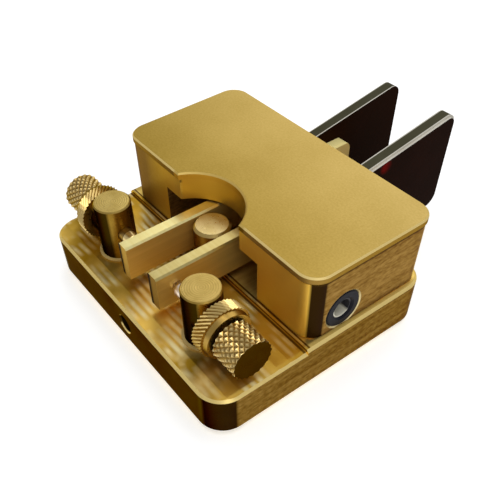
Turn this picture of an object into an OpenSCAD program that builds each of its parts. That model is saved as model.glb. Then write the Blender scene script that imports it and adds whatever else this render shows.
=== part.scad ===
// Paddle telegraph key with two side-swinging levers, in millimetres.
// The contact posts are at -Y, the finger paddles at +Y and +Z is up.
// The origin is the middle of the outline, on the ground under the feet.

/* [Base plate] */
// Width of the base plate across the key
base_w = 59; // [58:0.5:66]
// Depth of the base plate from front to rear
base_d = 49.8; // [49:0.2:56]
// Thickness of the base plate at its milled front part
base_h = 9; // [8:0.25:12]
// Radius of the base plate's upright corners
base_r = 5.2; // [3:0.2:7]
// Height of the raised seat that the pivot block stands on
seat_h = 0.6; // [0.3:0.1:1]
// Chamfer round the base plate's top and bottom edges
base_chamfer = 0.5; // [0.2:0.1:0.8]
// Width of the ridges that the milling cutter left on the front part
mill_pitch = 2.6; // [2:0.2:4]
// Depth of the cutter's shallow scallops
mill_depth = 0.06; // [0.03:0.01:0.12]
// Diameter of the threaded hole in the middle of the base plate's front face
front_hole_d = 3.6; // [3:0.1:4.5]
// Depth of that hole
front_hole_deep = 11; // [9:0.5:13]
// Length of the grub screw in the front hole
grub_len = 8; // [6:0.5:8.5]
// Distance that the grub screw lies inside the front face
grub_back = 2; // [1:0.1:2.4]

/* [Feet] */
// Height that the rubber feet stand out below the base plate
foot_h = 0.8; // [0.5:0.1:2]
// Diameter of a rubber foot
foot_d = 8; // [6:0.5:9]
// Distance of a foot's middle from the base plate's edges
foot_inset = 5; // [4.5:0.1:6]
// Depth of the pocket that holds a foot
foot_pocket = 1.2; // [0.8:0.1:1.8]

/* [Pivot block] */
// Ledge of the base plate beside the pivot block
ledge = 1.2; // [0.8:0.1:3]
// Depth of the pivot block from front to rear
block_d = 28; // [27:0.2:30]
// Distance from the base plate's front edge to the pivot block's front face
block_front = 20.7; // [20.4:0.1:21]
// Height of the pivot block above the seat, without its cover
block_h = 13.2; // [13:0.1:16]
// Radius of the pivot block's upright corners
block_r = 3.6; // [2:0.2:5]
// Width of the tunnel that the levers run through
tunnel_w = 28.6; // [28:0.2:31]
// Height of the tunnel above the seat
tunnel_h = 8.75; // [8.6:0.05:9.2]
// Thickness of the cover plate
cover_t = 1.35; // [1:0.05:2]
// Distance that the cover plate stands out round the pivot block
cover_over = 0.22; // [0.1:0.02:0.4]
// Width of the shadow gap cut under the cover plate's rim
cover_gap = 0.25; // [0.15:0.05:0.4]
// Radius of the round notch in the pivot block's roof
notch_r = 10.2; // [9.6:0.1:10.6]
// Distance from the block's front face to the notch's centre, in front of it
notch_out = 4.3; // [4:0.1:4.8]
// Chamfer on the cover plate's top edges
cover_chamfer = 0.3; // [0.2:0.05:0.5]

/* [Cover screws] */
// Diameter of the screws that hold the cover
cover_screw_d = 2; // [1.6:0.1:2.4]
// Distance from the middle of the key to a cover screw
cover_screw_x = 11.5; // [10.8:0.1:12]
// Distance from the pivot block's front face to the front pair of cover screws
cover_screw_front = 8; // [7.4:0.1:9]
// Distance from the pivot block's rear face to the rear pair of cover screws
cover_screw_rear = 4; // [3:0.1:6]
// Diameter of the cover screws' countersunk heads
cover_head_d = 4.1; // [3.6:0.1:4.4]

/* [Levers] */
// Length of a lever from its contact end to its finger end
lever_len = 55.6; // [54:0.2:57]
// Thickness of a lever from side to side
lever_t = 2.7; // [2.4:0.1:3]
// Height of a lever
lever_h = 7.5; // [7:0.1:7.7]
// Gap between a lever's underside and the seat
lever_clear = 0.95; // [0.9:0.05:1]
// Distance from the base plate's front edge to the levers' contact ends
lever_front = 4.7; // [4:0.1:5.5]
// Diameter of a lever's pivot hub
hub_d = 6.4; // [6:0.1:7]
// Distance from the pivot block's front face to the pivots
pivot_back = 13.6; // [13:0.2:15]
// Diameter of the pivot pins
pin_d = 2; // [1.5:0.1:2.5]
// Outer diameter of the pivots' ball bearings
bearing_d = 5; // [4.5:0.1:6]
// Thickness of the pivots' ball bearings
bearing_t = 2.3; // [1.8:0.1:2.6]
// Play between a pivot pin and its bearing, on the radius
pin_play = 0.02; // [0.01:0.01:0.05]
// Chamfer along a lever's top edges
lever_chamfer = 0.35; // [0.2:0.05:0.6]
// Radius of a lever's upper corner at its finger end
lever_end_r = 2; // [1:0.2:3]
// Diameter of the magnets that return the levers
mag_d = 4; // [3:0.1:5]
// Thickness of a magnet
mag_t = 1.8; // [1:0.1:1.9]
// Distance from a pivot hub's rear to the middle of its magnet
mag_back = 2.3; // [2.1:0.1:2.8]
// Distance that a magnet stands out from the lever's inner face
mag_out = 0.3; // [0.1:0.1:0.6]

/* [Finger paddles] */
// Thickness of a finger paddle
paddle_t = 2.9; // [2:0.1:3.5]
// Distance that the paddles stand out behind the pivot block
paddle_out = 27.9; // [24:0.1:30]
// Height of a paddle at its free end
paddle_end_h = 23; // [20:0.5:25]
// Height of the paddle's top edge above the seat, at the pivot block's rear face
paddle_neck = 10.2; // [9.5:0.1:11]
// Slope of the paddle's top edge in degrees
paddle_slope = 9.3; // [6:0.1:14]
// Gap between the base plate's rear face and the paddle's outer part
paddle_gap = 0.6; // [0.4:0.1:1]
// Radius of the paddle's upper corner
paddle_top_r = 2.2; // [1:0.1:3]
// Radius of the paddle's lower corner
paddle_low_r = 3.3; // [2:0.1:4]
// Length of the paddle's root inside the tunnel
paddle_root = 9; // [8:0.5:10]
// Chamfer along the paddle's edges
paddle_chamfer = 0.5; // [0.3:0.1:0.8]
// Diameter of the screws that hold a paddle
paddle_screw_d = 1.6; // [1.4:0.1:1.8]
// Diameter of those screws' heads
paddle_head_d = 3.2; // [2.6:0.1:3.3]
// Depth of the pocket for a paddle screw's head
paddle_head_h = 1.1; // [0.8:0.1:1.4]
// Distance from the paddle's front end to its screws
paddle_screw_back = 4; // [3:0.1:5]
// Distance of the paddle screws from the lever's top and bottom edges
paddle_screw_in = 2; // [1.8:0.1:2.1]

/* [Contact posts] */
// Distance between the two contact posts, centre to centre
post_span = 29.4; // [29:0.2:31]
// Distance from the base plate's front edge to the posts' centres
post_back = 8.6; // [8:0.1:9.4]
// Diameter of the contact posts and of the centre stop
post_d = 7.3; // [7:0.1:7.6]
// Height of the contact posts above the base plate's front part
post_h = 11.5; // [11:0.1:12]
// Chamfer round the posts' tops
post_chamfer = 0.25; // [0.15:0.05:0.4]
// Diameter of the insulating collar under each contact post
collar_d = 8.4; // [8:0.1:9]
// Height of the insulating collar above the base plate
collar_h = 0.35; // [0.2:0.05:0.6]
// Depth that the collar's sleeve reaches into the base plate
sleeve_deep = 2.2; // [1.8:0.1:2.6]
// Width of the collar's lip outside its sleeve
collar_lip = 0.7; // [0.4:0.1:1]
// Diameter of the spigot on a post's lower end
spigot_d = 3.6; // [3.4:0.1:4]
// Length of the spigot below the base plate's surface
spigot_deep = 1.4; // [1:0.1:1.6]
// Diameter of the insulating washer below the base plate
washer_d = 8; // [7:0.1:8.2]
// Thickness of that washer
washer_t = 0.8; // [0.5:0.1:1]
// Diameter of the washer's hub, which keeps the screw off the base plate
washer_hub_d = 4.2; // [3.8:0.1:4.3]
// Height of the washer with its hub
washer_hub_h = 2.4; // [1.6:0.1:3]
// Height of the centre stop above the base plate's front part
stop_h = 8.9; // [8.4:0.1:9]
// Gap between the centre stop and a lever at rest
stop_gap = 0.04; // [0.02:0.01:0.1]
// Distance from the pivot block's front face to the centre stop's centre
stop_back = 0.6; // [0:0.1:1]
// Chamfer round the centre stop's top
stop_chamfer = 0.5; // [0.2:0.1:0.8]

/* [Contact screws] */
// Height of the contact screws' axis above the base plate's front part
screw_z = 5.86; // [5.6:0.02:6.1]
// Diameter of a contact screw's thread
screw_d = 3; // [2.5:0.1:3.5]
// Play between the thread and the post, on the radius
screw_play = 0.04; // [0.02:0.01:0.08]
// Gap between a contact tip and the lever's contact at rest
contact_gap = 0.5; // [0.3:0.05:1]
// Diameter of a contact tip
tip_d = 2.9; // [2.4:0.1:3]
// Length of a contact tip
tip_len = 2.4; // [2:0.1:2.6]
// Rounding of the contact tip's end
tip_round = 0.7; // [0.3:0.05:0.8]
// Diameter of the rivet's head on a lever
rivet_head_d = 2.2; // [1.8:0.1:2.6]
// Thickness of the rivet's head on a lever
rivet_head_t = 0.5; // [0.3:0.1:0.7]
// Diameter of the rivet's shank
rivet_d = 1.4; // [1:0.1:1.6]
// Length of the rivet's shank inside the lever
rivet_deep = 1.1; // [0.8:0.1:1.4]
// Diameter of the knurled knob
knob_d = 7.9; // [7:0.1:8.4]
// Length of the knurled knob
knob_len = 5.6; // [5:0.1:6]
// Number of knurl ridges round the knob, in each direction
knob_ridges = 20; // [16:1:26]
// Slant of the knob's ridges in degrees
knob_slant = 42; // [30:1:45]
// Diameter of the smooth neck before the knob
neck_d = 5; // [4:0.1:6]
// Length of that neck
neck_len = 0.6; // [0.4:0.1:0.8]
// Diameter of the knurled lock ring
ring_d = 10.4; // [9:0.1:10.8]
// Width of the lock ring's knurled rim
ring_rim = 2.5; // [2:0.1:3]
// Number of slanting ridges round the lock ring
ring_ridges = 40; // [30:1:48]
// Slant of the lock ring's ridges in degrees
ring_slant = 40; // [25:1:45]
// Length of the ring's smooth outer part
face_len = 1.1; // [0.8:0.1:1.4]
// Diameter by which the smooth part is smaller than the rim
face_less = 0.9; // [0.6:0.1:1.6]
// Depth of the knurls' grooves
knurl_depth = 0.28; // [0.15:0.01:0.35]

/* [Screws below] */
// Diameter of the socket screws' heads
head_d = 5.4; // [5:0.1:5.8]
// Height of the socket screws' heads
head_h = 2.1; // [1.6:0.1:2.4]
// Width across the corners of the screws' sockets
socket_d = 2.8; // [2.2:0.1:3]
// Depth of the sockets
socket_deep = 1.3; // [1:0.1:1.5]
// Diameter of the pivot block's and the centre stop's screws
bolt_d = 3; // [2.5:0.1:3.2]
// Length that a block screw reaches into the pivot block
bolt_grip = 5; // [4:0.5:6]
// Distance from the tunnel's side wall to the block screws
bolt_out = 2.7; // [2.5:0.1:3]
// Distance from the pivot block's front face to its front screws
bolt_front = 3.6; // [3.4:0.1:4]
// Distance from the pivot block's rear face to its rear screws
bolt_rear = 9.5; // [9:0.1:10.5]
// Length that the centre stop's screw reaches into the stop
stop_grip = 2.6; // [2:0.1:4]
// Diameter of the contact posts' screws
post_screw_d = 2.5; // [2:0.1:2.6]
// Length that a post screw reaches into its post
post_grip = 2.5; // [2:0.1:2.7]
// Diameter of the pocket for a post screw's head
post_pocket_d = 8.4; // [8.3:0.1:9]

/* [Wires] */
// Width of the channels for the wires in the underside
channel_w = 2.2; // [2:0.1:2.6]
// Depth of the channels for the wires
channel_deep = 2.2; // [1.8:0.1:2.6]
// Diameter of an insulated wire
wire_d = 0.9; // [0.6:0.1:1]
// Distance from the posts to the channel that runs across the key
wire_back = 7; // [6.6:0.1:7.4]
// Diameter of a solder tag's ring
tag_d = 5; // [4.4:0.1:6]
// Thickness of a solder tag
tag_t = 0.3; // [0.2:0.05:0.35]
// Width of a solder tag's tail
tag_w = 1.4; // [1:0.1:1.8]
// Length of a solder tag from the screw's centre to the tail's end
tag_len = 4; // [3.5:0.1:4.4]

/* [Jack] */
// Diameter of the black nut round the jack's opening
jack_nut_d = 7.6; // [7.2:0.1:7.8]
// Diameter of the jack's opening, for a 3.5 millimetre plug
jack_bore_d = 3.6; // [3.55:0.01:3.7]
// Distance from the pivot block's front face to the jack's centre
jack_back = 7.8; // [7:0.1:9]
// Height of the jack's centre above the seat
jack_up = 3.95; // [3.9:0.01:4.1]
// Length of the jack's barrel behind its nut
barrel_len = 8.4; // [7:0.2:9]
// Diameter of the jack's barrel
barrel_d = 6; // [5:0.1:6.4]
// Depth that the nut is let into the block
nut_deep = 1.5; // [1.2:0.1:2]
// Thickness of the barrel's closed end
barrel_end = 1.2; // [0.8:0.1:1.6]
// Wall of the jack's bright lining
lining_t = 0.25; // [0.15:0.05:0.3]
// Length of the two contact springs at the barrel's closed end
spring_len = 1.6; // [1.2:0.1:1.7]
// Thickness of a contact spring
spring_t = 0.3; // [0.2:0.05:0.4]
// Height of a contact spring
spring_h = 1.2; // [0.8:0.1:1.6]

/* [Hidden] */
$fn = 48;

// Levels and stations that several pieces share
total_d = block_front + block_d + paddle_out;
front_y = -total_d / 2;
floor_z = foot_h;
deck_z = floor_z + base_h;
seat_z = deck_z + seat_h;
roof_z = seat_z + tunnel_h;
block_top = seat_z + block_h;
cover_top = block_top + cover_t;
block_y = front_y + block_front;
block_rear = block_y + block_d;
block_mid = block_y + block_d / 2;
block_w = base_w - 2 * ledge;
base_mid = front_y + base_d / 2;
seat_front = block_y - 0.8;
pivot_y = block_y + pivot_back;
post_y = front_y + post_back;
post_x = post_span / 2;
stop_y = block_y + stop_back;
axis_z = deck_z + screw_z;
lever_in = post_d / 2 + stop_gap;
lever_x = lever_in + lever_t / 2;
lever_out = lever_in + lever_t;
lever_y = front_y + lever_front;
lever_rear = lever_y + lever_len;
lever_z = seat_z + lever_clear;
lever_top = lever_z + lever_h;
paddle_in = lever_out;
paddle_rear = block_rear + paddle_out;
paddle_front = block_rear - paddle_root;
paddle_rise = paddle_out * tan(paddle_slope);
neck_z = seat_z + paddle_neck;
root_z = lever_z + 0.2;
tip_x = lever_out + rivet_head_t + contact_gap;
shank_x = tip_x + tip_len;
post_boss_x = post_x + post_d / 2 + 0.2;
ring_x = post_boss_x + 0.1;
neck_x = ring_x + ring_rim + face_len + 0.05;
knob_x = ring_x + ring_rim + face_len + neck_len;
jack_y = block_y + jack_back;
jack_z = seat_z + jack_up;
jack_x = block_w / 2;
barrel_x = jack_x - nut_deep - barrel_len;
lining_d = jack_bore_d + 2 * lining_t;
notch_y = block_y - notch_out;
mag_y = pivot_y + hub_d / 2 + mag_back;
mag_z = lever_z + lever_h / 2;
foot_x = base_w / 2 - foot_inset;
foot_ys = [front_y + foot_inset, front_y + base_d - foot_inset];
bolt_x = tunnel_w / 2 + bolt_out;
bolt_ys = [block_y + bolt_front, block_rear - bolt_rear];
cover_screw_ys = [block_y + cover_screw_front, block_rear - cover_screw_rear];
paddle_screw_y = paddle_front + paddle_screw_back;
paddle_screw_zs = [lever_z + paddle_screw_in, lever_top - paddle_screw_in];
hole_z = floor_z + base_h / 2;
sleeve_d = collar_d - 2 * collar_lip;
pin_relief_d = pin_d + 1.4;
wire_lane = wire_d / 2 + 0.08;
wire_y0 = post_y + wire_back;
wire_x = bolt_x + head_d / 2 + channel_w / 2 + 0.6;
drop_x = barrel_x - channel_w / 2;
wire_z = floor_z + 1;

// An upright slab with round corners and chamfered edges, centred on x and y
module slab(w, d, h, r, low, high) {
    side_w = [
        [-w / 2 + low, 0], [w / 2 - low, 0], [w / 2, low], [w / 2, h - high],
        [w / 2 - high, h], [-w / 2 + high, h], [-w / 2, h - high], [-w / 2, low]
    ];
    side_d = [
        [-d / 2 + low, 0], [d / 2 - low, 0], [d / 2, low], [d / 2, h - high],
        [d / 2 - high, h], [-d / 2 + high, h], [-d / 2, h - high], [-d / 2, low]
    ];
    union() {
        translate([0, d / 2 - r, 0])
            rotate([90, 0, 0])
                linear_extrude(height = d - 2 * r) polygon(side_w);
        translate([-(w / 2 - r), 0, 0])
            rotate([90, 0, 90])
                linear_extrude(height = w - 2 * r) polygon(side_d);
        for (sx = [-1, 1])
            for (sy = [-1, 1])
                translate([sx * (w / 2 - r), sy * (d / 2 - r), 0])
                    corner(r, h, low, high);
    }
}

// One round chamfered corner of a slab
module corner(r, h, low, high) {
    rotate_extrude($fn = 64)
        polygon([[0, 0], [r - low, 0], [r, low], [r, h - high], [r - high, h], [0, h]]);
}

// A piece that exists on the left is the mirror image of the one on the right
module on_side(s) {
    mirror([s < 0 ? 1 : 0, 0, 0]) children();
}

// A round bar along X that starts at x and has its middle at y, z
module bar_x(x, y, z, d, len) {
    translate([x, y, z])
        rotate([0, 90, 0]) cylinder(d = d, h = len);
}

// Base plate: a brass slab with a raised seat, milled front part and pockets below
module base_plate() {
    color([0.72, 0.58, 0.28])
    difference() {
        union() {
            difference() {
                translate([0, base_mid, floor_z])
                    slab(base_w, base_d, base_h, base_r, base_chamfer, base_chamfer);
                mill_marks();
            }
            intersection() {
                translate([0, base_mid, floor_z])
                    slab(base_w, base_d, base_h + seat_h, base_r, base_chamfer, base_chamfer);
                translate([-base_w, seat_front, floor_z + 1])
                    cube([2 * base_w, base_d, base_h + seat_h]);
            }
        }
        for (s = [-1, 1]) {
            // Bore for the collar and stepped hole for the screw of a contact post
            translate([s * post_x, post_y, deck_z - sleeve_deep]) cylinder(d = sleeve_d, h = base_h);
            translate([s * post_x, post_y, floor_z - 1]) cylinder(d = washer_hub_d + 0.2, h = base_h + 2);
            translate([s * post_x, post_y, floor_z - 1])
                cylinder(d = post_pocket_d, h = 1 + head_h + washer_t + 0.4);
            // Lower bearing of a pivot
            translate([s * lever_x, pivot_y, seat_z - bearing_t]) cylinder(d = bearing_d, h = base_h);
            translate([s * lever_x, pivot_y, seat_z - bearing_t - 1.6])
                cylinder(d = pin_relief_d, h = base_h);
            // Pockets for the feet
            for (y = foot_ys)
                translate([s * foot_x, y, floor_z - 1]) cylinder(d = foot_d, h = 1 + foot_pocket);
            // Screws that hold the pivot block
            for (y = bolt_ys)
                screw_hole([s * bolt_x, y, floor_z]);
        }
        // Seat and screw of the centre stop
        translate([0, stop_y, deck_z]) cylinder(d = post_d + 0.2, h = 2 * seat_h);
        screw_hole([0, stop_y, floor_z]);
        // Threaded hole in the front face, for the grub screw
        translate([0, front_y - 1, hole_z])
            rotate([-90, 0, 0]) cylinder(d = front_hole_d, h = front_hole_deep + 1);
        translate([0, front_y + 0.3, hole_z])
            rotate([90, 0, 0]) cylinder(d1 = front_hole_d, d2 = front_hole_d + 0.8, h = 0.4);
        // Channels for the wires from the two posts to the jack
        channel_y(-post_x, post_y, wire_y0);
        channel_y(post_x, post_y, wire_y0);
        channel_x(-post_x, wire_x, wire_y0);
        channel_y(wire_x, wire_y0, jack_y);
        channel_x(drop_x, wire_x, jack_y);
        translate([drop_x, jack_y, floor_z - 1]) cylinder(d = channel_w, h = base_h + 4);
    }
}

// A wire channel along Y, cut into the underside
module channel_y(x, y0, y1) {
    translate([x - channel_w / 2, y0 - channel_w / 2, floor_z - 1])
        cube([channel_w, y1 - y0 + channel_w, 1 + channel_deep]);
}

// A wire channel along X, cut into the underside
module channel_x(x0, x1, y) {
    translate([x0 - channel_w / 2, y - channel_w / 2, floor_z - 1])
        cube([x1 - x0 + channel_w, channel_w, 1 + channel_deep]);
}

// A counterbored hole for a screw that goes in from below
module screw_hole(at) {
    translate([at[0], at[1], at[2] - 1]) cylinder(d = bolt_d + 0.2, h = 2 * base_h);
    translate([at[0], at[1], at[2] - 1]) cylinder(d = head_d + 0.4, h = 1 + head_h + 0.3);
}

// Shallow scallops side by side on the front part, cut with the side of a round cutter
module mill_marks() {
    mark_r = mill_pitch * mill_pitch / 8 / mill_depth + mill_depth / 2;
    for (y = [front_y + base_chamfer + mill_pitch / 2 + 0.2 : mill_pitch : seat_front - mill_pitch / 2])
        translate([-base_w, y, deck_z + mark_r - mill_depth])
            rotate([0, 90, 0]) cylinder(r = mark_r, h = 2 * base_w, $fn = 96);
}

// Pivot block: a brass bridge with a tunnel, a notched roof and a bore for the jack
module pivot_block() {
    color([0.66, 0.5, 0.22])
    difference() {
        translate([0, block_mid, seat_z])
            slab(block_w, block_d, block_h, block_r, 0.2, 0.2);
        translate([-tunnel_w / 2, block_y - 1, seat_z - 1])
            cube([tunnel_w, block_d + 2, tunnel_h + 1]);
        translate([0, notch_y, seat_z]) cylinder(r = notch_r, h = block_h + 1, $fn = 96);
        shadow_gap();
        for (s = [-1, 1]) {
            // Upper bearing of a pivot, closed in by the cover
            translate([s * lever_x, pivot_y, roof_z - 1]) cylinder(d = pin_relief_d, h = block_h);
            translate([s * lever_x, pivot_y, block_top - bearing_t]) cylinder(d = bearing_d, h = block_h);
            for (y = bolt_ys)
                translate([s * bolt_x, y, seat_z - 1]) cylinder(d = bolt_d, h = bolt_grip + 2);
            for (y = cover_screw_ys)
                cover_screw_hole(s * cover_screw_x, y);
        }
        // Bore for the jack, with a wider seat for its nut and a light countersink
        bar_x(barrel_x - channel_w + 0.2, jack_y, jack_z, barrel_d + 0.2, 2 * barrel_len);
        bar_x(jack_x - nut_deep, jack_y, jack_z, jack_nut_d + 0.1, 2 * nut_deep);
        translate([jack_x - 0.25, jack_y, jack_z])
            rotate([0, 90, 0]) cylinder(d1 = jack_nut_d + 0.1, d2 = jack_nut_d + 0.9, h = 0.4);
        translate([drop_x, jack_y, seat_z - 1]) cylinder(d = channel_w, h = jack_up + 1);
    }
}

// Shadow gap: a shallow rebate round the top of the pivot block's outer faces
module shadow_gap() {
    difference() {
        translate([0, block_mid, block_top - cover_gap])
            linear_extrude(height = 2) square([block_w + 4, block_d + 4], center = true);
        translate([0, block_mid, block_top - cover_gap - 1])
            slab(block_w - 0.7, block_d - 0.7, 5, block_r - 0.35, 0, 0);
        translate([0, notch_y, block_top - cover_gap - 1]) cylinder(r = notch_r + 0.6, h = 5);
    }
}

// A countersunk hole through the roof for a screw that holds the cover
module cover_screw_hole(x, y) {
    hole_d = cover_screw_d + 0.2;
    translate([x, y, roof_z - 1]) cylinder(d = hole_d, h = block_h);
    translate([x, y, roof_z - 0.01]) cylinder(d1 = cover_head_d + 0.1, d2 = hole_d, h = 1.01);
}

// Cover plate: a thin brass plate with round corners, a notch and chamfered edges
module cover_plate() {
    w = block_w + 2 * cover_over;
    d = block_d + 2 * cover_over;
    color([0.76, 0.63, 0.31])
    difference() {
        translate([0, block_mid, block_top])
            slab(w, d, cover_t, block_r + cover_over, 0.1, cover_chamfer);
        translate([0, notch_y, block_top - 1]) cylinder(r = notch_r, h = cover_t + 2, $fn = 96);
        translate([0, notch_y, cover_top - cover_chamfer])
            cylinder(r1 = notch_r, r2 = notch_r + cover_chamfer + 0.1, h = cover_chamfer + 0.1, $fn = 96);
        for (s = [-1, 1])
            for (y = cover_screw_ys)
                translate([s * cover_screw_x, y, block_top - 1]) cylinder(d = cover_screw_d, h = 2);
    }
}

// Cover screws: four small countersunk screws that hold the cover from inside the tunnel
module cover_screws() {
    color([0.6, 0.6, 0.6])
    for (s = [-1, 1])
        for (y = cover_screw_ys)
            translate([s * cover_screw_x, y, roof_z])
                difference() {
                    union() {
                        cylinder(d1 = cover_head_d, d2 = cover_screw_d, h = 1);
                        cylinder(d = cover_screw_d, h = block_top - roof_z + 0.9);
                    }
                    translate([-cover_head_d, -0.25, -1]) cube([2 * cover_head_d, 0.5, 1.4]);
                }
}

// A socket head screw that goes in from below, head down
module socket_screw(d, len) {
    difference() {
        union() {
            cylinder(d = head_d, h = head_h);
            cylinder(d = d, h = len);
        }
        translate([0, 0, -1]) cylinder(d = socket_d, h = 1 + socket_deep, $fn = 6);
    }
}

// Block screws: four socket head screws from below the base plate into the block
module block_screws() {
    color([0.5, 0.5, 0.5])
    for (s = [-1, 1])
        for (y = bolt_ys)
            translate([s * bolt_x, y, floor_z + 0.3]) socket_screw(bolt_d, base_h + seat_h + bolt_grip);
}

// One lever on the right: a brass bar with a round hub at its pivot
module lever_shape() {
    c = lever_chamfer;
    section = [
        [-lever_t / 2 + 0.15, 0], [lever_t / 2 - 0.15, 0], [lever_t / 2, 0.15],
        [lever_t / 2, lever_h - c], [lever_t / 2 - c, lever_h],
        [-lever_t / 2 + c, lever_h], [-lever_t / 2, lever_h - c], [-lever_t / 2, 0.15]
    ];
    difference() {
        union() {
            translate([lever_x, lever_rear, lever_z])
                rotate([90, 0, 0])
                    linear_extrude(height = lever_len) polygon(section);
            translate([lever_x, pivot_y, lever_z]) cylinder(d = hub_d, h = lever_h);
        }
        // Round off the upper corner at the finger end
        translate([lever_x - lever_t, lever_rear - lever_end_r, lever_top - lever_end_r])
            difference() {
                cube([2 * lever_t, 2 * lever_end_r, 2 * lever_end_r]);
                rotate([0, 90, 0]) cylinder(r = lever_end_r, h = 2 * lever_t);
            }
        translate([lever_x, pivot_y, lever_z - 1]) cylinder(d = pin_d, h = lever_h + 2);
        // Hole for the contact's rivet
        bar_x(lever_out - rivet_deep - 0.1, post_y, axis_z, rivet_d, lever_t);
        // Seat for the magnet on the inner face
        bar_x(lever_in - 1, mag_y, mag_z, mag_d, 1 + mag_t - mag_out);
        for (z = paddle_screw_zs)
            bar_x(lever_out - 2.2, paddle_screw_y, z, paddle_screw_d, lever_t);
    }
}

module lever_left() {
    color([0.78, 0.65, 0.34]) on_side(-1) lever_shape();
}

module lever_right() {
    color([0.78, 0.65, 0.34]) lever_shape();
}

// Pivot pin: a steel pin pressed through the lever's hub
module pin_shape() {
    translate([lever_x, pivot_y, seat_z - bearing_t - 0.6])
        cylinder(d = pin_d, h = block_top - seat_z + bearing_t + 0.4);
}

module pivot_pin_left() {
    color([0.7, 0.7, 0.72]) on_side(-1) pin_shape();
}

module pivot_pin_right() {
    color([0.7, 0.7, 0.72]) pin_shape();
}

// Pivot bearings: four small bearings, two in the base plate and two in the block's roof
module pivot_bearings() {
    color([0.75, 0.75, 0.77])
    for (s = [-1, 1])
        for (z = [seat_z - bearing_t, block_top - bearing_t])
            translate([s * lever_x, pivot_y, z])
                rotate_extrude()
                    polygon([
                        [pin_d / 2 + pin_play, 0], [bearing_d / 2, 0], [bearing_d / 2, bearing_t],
                        [bearing_d / 2 - 0.5, bearing_t], [bearing_d / 2 - 0.5, bearing_t - 0.15],
                        [pin_d / 2 + 0.5, bearing_t - 0.15], [pin_d / 2 + 0.5, bearing_t],
                        [pin_d / 2 + pin_play, bearing_t]
                    ]);
}

// Outline of a finger paddle seen from the side, y along the first axis
module paddle_outline(inset) {
    rear = paddle_rear - inset;
    front = front_y + base_d + paddle_gap + inset;
    low_z = neck_z + paddle_rise - paddle_end_h + inset;
    line_z = neck_z - inset / cos(paddle_slope);
    front_z = line_z + (front - block_rear) * tan(paddle_slope);
    tr = paddle_top_r - inset;
    lr = paddle_low_r - inset;
    top_y = rear - tr;
    top_z = line_z + (top_y - block_rear) * tan(paddle_slope) - tr / cos(paddle_slope);
    union() {
        polygon([
            [front + lr, low_z], [rear - lr, low_z], [rear, low_z + lr], [rear, top_z],
            [top_y - tr * sin(paddle_slope), top_z + tr * cos(paddle_slope)],
            [front, front_z], [front, low_z + lr]
        ]);
        translate([front + lr, low_z + lr]) circle(r = lr);
        translate([rear - lr, low_z + lr]) circle(r = lr);
        translate([top_y, top_z]) circle(r = tr);
        translate([paddle_front + inset, root_z + inset])
            square([front - paddle_front, lever_top - 0.2 - root_z - 2 * inset]);
    }
}

// One finger paddle on the right: a dark sheet with chamfered edges
module paddle_shape() {
    difference() {
        union() {
            translate([paddle_in, 0, 0])
                rotate([90, 0, 90])
                    linear_extrude(height = paddle_t - paddle_chamfer) paddle_outline(0);
            translate([paddle_in, 0, 0])
                rotate([90, 0, 90])
                    linear_extrude(height = paddle_t) paddle_outline(paddle_chamfer);
        }
        for (z = paddle_screw_zs) {
            bar_x(paddle_in - 1, paddle_screw_y, z, paddle_screw_d + 0.2, 2 * paddle_t);
            bar_x(paddle_in + paddle_t - paddle_head_h, paddle_screw_y, z, paddle_head_d + 0.2, paddle_t);
        }
    }
}

module finger_paddle_left() {
    color([0.12, 0.05, 0.04]) on_side(-1) paddle_shape();
}

module finger_paddle_right() {
    color([0.12, 0.05, 0.04]) paddle_shape();
}

// Paddle screws: two small screws, one above the other, inside the tunnel
module paddle_screw_pair() {
    head_x = paddle_in + paddle_t - paddle_head_h;
    for (z = paddle_screw_zs)
        difference() {
            union() {
                bar_x(head_x, paddle_screw_y, z, paddle_head_d, paddle_head_h - 0.1);
                bar_x(lever_out - 2, paddle_screw_y, z, paddle_screw_d, head_x - lever_out + 2.5);
            }
            translate([head_x + paddle_head_h / 2, paddle_screw_y - 0.2, z - paddle_head_d / 2 - 0.1])
                cube([paddle_head_h, 0.4, paddle_head_d + 0.2]);
        }
}

module paddle_screws_left() {
    color([0.6, 0.6, 0.6]) on_side(-1) paddle_screw_pair();
}

module paddle_screws_right() {
    color([0.6, 0.6, 0.6]) paddle_screw_pair();
}

// Lever contact: a silver rivet whose round head faces the contact tip
module rivet_shape() {
    bar_x(lever_out, post_y, axis_z, rivet_head_d, rivet_head_t);
    bar_x(lever_out - rivet_deep, post_y, axis_z, rivet_d, rivet_deep + rivet_head_t / 2);
}

module lever_contact_left() {
    color([0.85, 0.84, 0.8]) on_side(-1) rivet_shape();
}

module lever_contact_right() {
    color([0.85, 0.84, 0.8]) rivet_shape();
}

// Lever magnet: a disc let into the lever's inner face, two of them push the levers apart
module magnet_shape() {
    bar_x(lever_in - mag_out, mag_y, mag_z, mag_d, mag_t);
}

module lever_magnet_left() {
    color([0.65, 0.65, 0.67]) on_side(-1) magnet_shape();
}

module lever_magnet_right() {
    color([0.65, 0.65, 0.67]) magnet_shape();
}

// Contact post: a turned brass post with a crosswise threaded hole
module post_shape() {
    difference() {
        union() {
            translate([post_x, post_y, deck_z + collar_h])
                rotate_extrude($fn = 64)
                    polygon([
                        [0, 0], [post_d / 2, 0], [post_d / 2, post_h - collar_h - post_chamfer],
                        [post_d / 2 - post_chamfer, post_h - collar_h], [0, post_h - collar_h]
                    ]);
            translate([post_x, post_y, deck_z - spigot_deep])
                cylinder(d = spigot_d, h = spigot_deep + collar_h + 1);
            // Smooth boss that the lock ring bears on
            bar_x(post_x, post_y, axis_z, post_d - 0.5, post_boss_x - post_x);
        }
        bar_x(0, post_y, axis_z, screw_d + 2 * screw_play, base_w);
        translate([post_x, post_y, floor_z]) cylinder(d = post_screw_d, h = base_h + post_grip + 0.3);
    }
}

module contact_post_left() {
    color([0.72, 0.57, 0.27]) on_side(-1) post_shape();
}

module contact_post_right() {
    color([0.72, 0.57, 0.27]) post_shape();
}

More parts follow.
